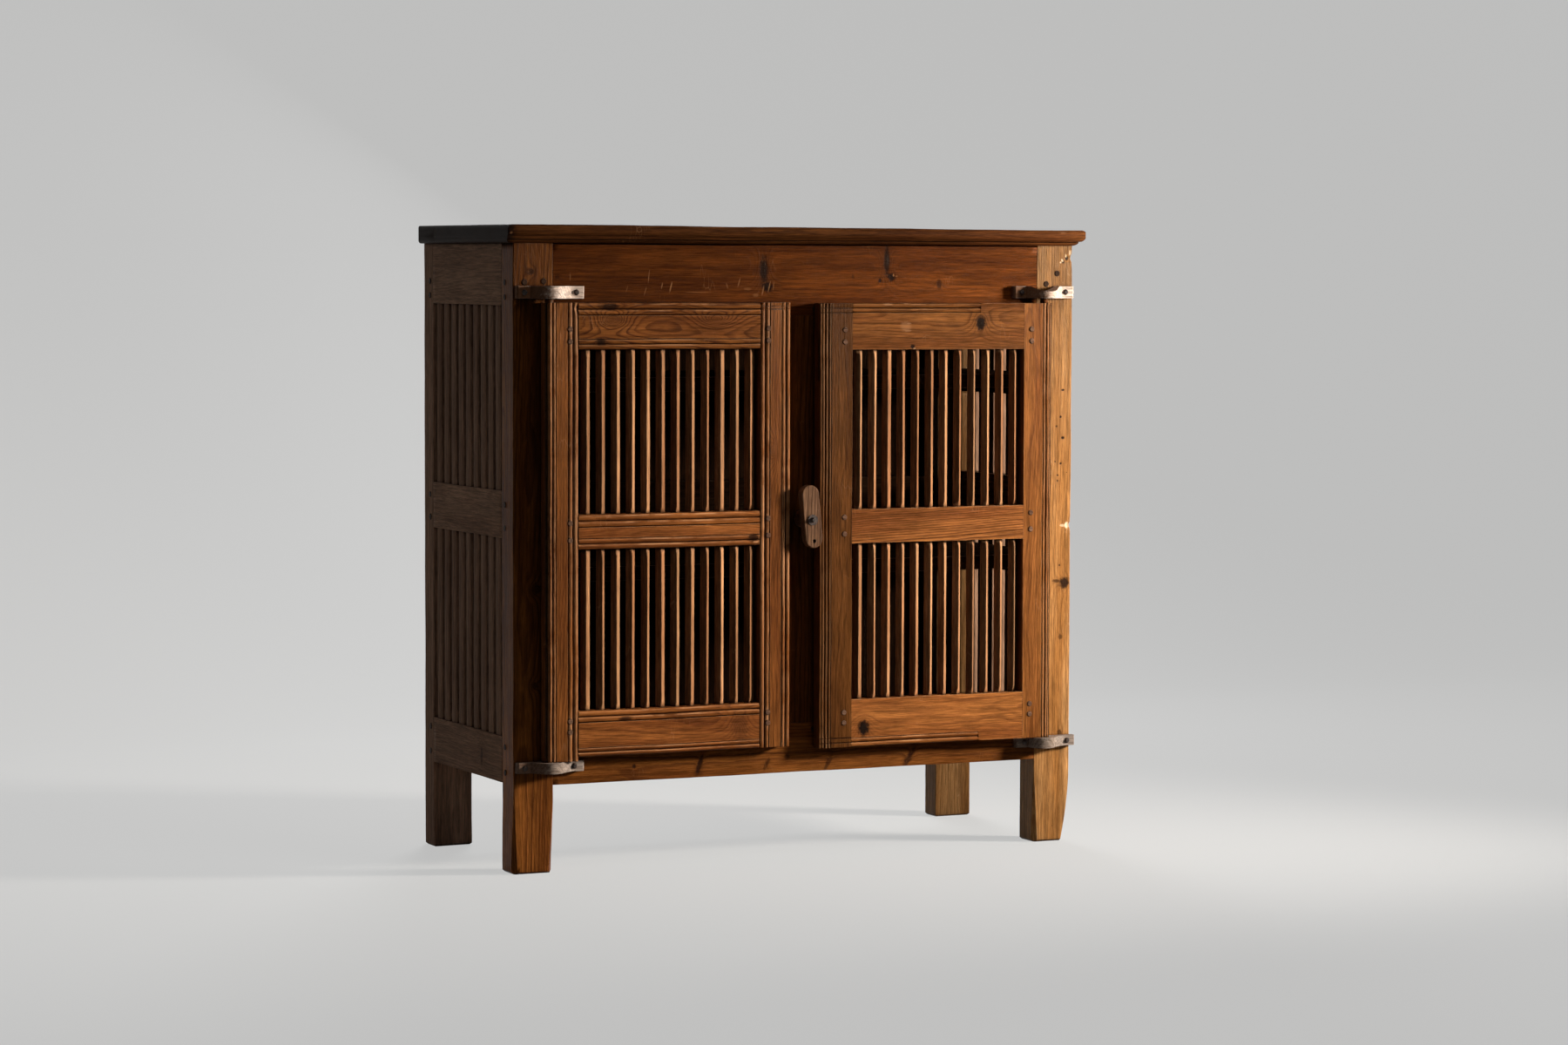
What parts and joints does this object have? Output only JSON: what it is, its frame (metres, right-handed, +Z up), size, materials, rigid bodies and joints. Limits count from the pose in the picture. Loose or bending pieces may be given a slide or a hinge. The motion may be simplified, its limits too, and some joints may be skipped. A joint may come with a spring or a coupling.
{
  "type": "cheese storage cabinet",
  "caption": "Ventilated pine cupboard on four legs with barred swing doors on wooden pivots, slatted sides, shelves and a wooden turn button.",
  "frame": {"origin": "centre of the bounding box at floor level, under the middle of the cabinet", "axes": "+X to the right as one faces the doors, +Y towards the back, +Z up"},
  "size_m": [1.212, 0.52, 1.2],
  "materials": {
    "frame_pine": "old waxed pine, orange brown",
    "door_pine": "old waxed pine, red brown",
    "bar_pine": "old pine, worn pale on the edges",
    "bracket_pine": "pale worn pine",
    "inside_pine": "bare aged pine",
    "iron": "dark forged iron"
  },
  "bodies": {
    "carcass": {"back_boards": "inside_pine", "back_bottom_rail": "inside_pine", "back_left_post": "frame_pine", "back_middle_rail": "inside_pine", "back_right_post": "frame_pine", "back_top_rail": "inside_pine", "board_nails": "iron", "bottom_back_board": "inside_pine", "bottom_bearers": "inside_pine", "bottom_front_board": "inside_pine", "bottom_left_pivot_bracket": "bracket_pine", "bottom_right_pivot_bracket": "bracket_pine", "bracket_nails": "iron", "button_collar": "door_pine", "button_nail": "iron", "button_washer": "iron", "centre_stile": "frame_pine", "frame_pegs": "frame_pine", "front_bottom_rail": "frame_pine", "front_left_post": "frame_pine", "front_right_post": "frame_pine", "front_top_rail": "frame_pine", "left_lower_slats": "frame_pine", "left_side_bottom_rail": "frame_pine", "left_side_middle_rail": "frame_pine", "left_side_top_rail": "frame_pine", "left_upper_slats": "frame_pine", "lower_shelf_back_board": "inside_pine", "lower_shelf_bearers": "inside_pine", "lower_shelf_front_board": "inside_pine", "right_lower_slats": "frame_pine", "right_side_bottom_rail": "frame_pine", "right_side_middle_rail": "frame_pine", "right_side_top_rail": "frame_pine", "right_upper_slats": "frame_pine", "top_back_plank": "frame_pine", "top_front_plank": "frame_pine", "top_left_pivot_bracket": "bracket_pine", "top_right_pivot_bracket": "bracket_pine", "upper_shelf_back_board": "inside_pine", "upper_shelf_bearers": "inside_pine", "upper_shelf_front_board": "inside_pine"},
    "left_door": {"left_door_bottom_rail": "door_pine", "left_door_hinge_stile": "door_pine", "left_door_lower_bars": "bar_pine", "left_door_meeting_stile": "door_pine", "left_door_middle_rail": "door_pine", "left_door_pegs": "door_pine", "left_door_top_rail": "door_pine", "left_door_upper_bars": "bar_pine"},
    "right_door": {"right_door_bottom_rail": "door_pine", "right_door_hinge_stile": "door_pine", "right_door_lower_bars": "bar_pine", "right_door_meeting_stile": "door_pine", "right_door_middle_rail": "door_pine", "right_door_pegs": "door_pine", "right_door_top_rail": "door_pine", "right_door_upper_bars": "bar_pine"},
    "turn_button": {"turn_button": "door_pine"}
  },
  "joints": [
    {"name": "left_door_swing", "type": "hinge", "parent": "carcass", "child": "left_door", "pos_m": [-0.523, -0.221, 0.6], "axis": [0, 0, -1], "range_deg": [0, 175]},
    {"name": "right_door_swing", "type": "hinge", "parent": "carcass", "child": "right_door", "pos_m": [0.516, -0.221, 0.6], "axis": [0, 0, 1], "range_deg": [0, 175]},
    {"name": "turn_button_turn", "type": "hinge", "parent": "carcass", "child": "turn_button", "pos_m": [0.002, -0.2445, 0.649], "axis": [0, -1, 0], "continuous": true}
  ]
}
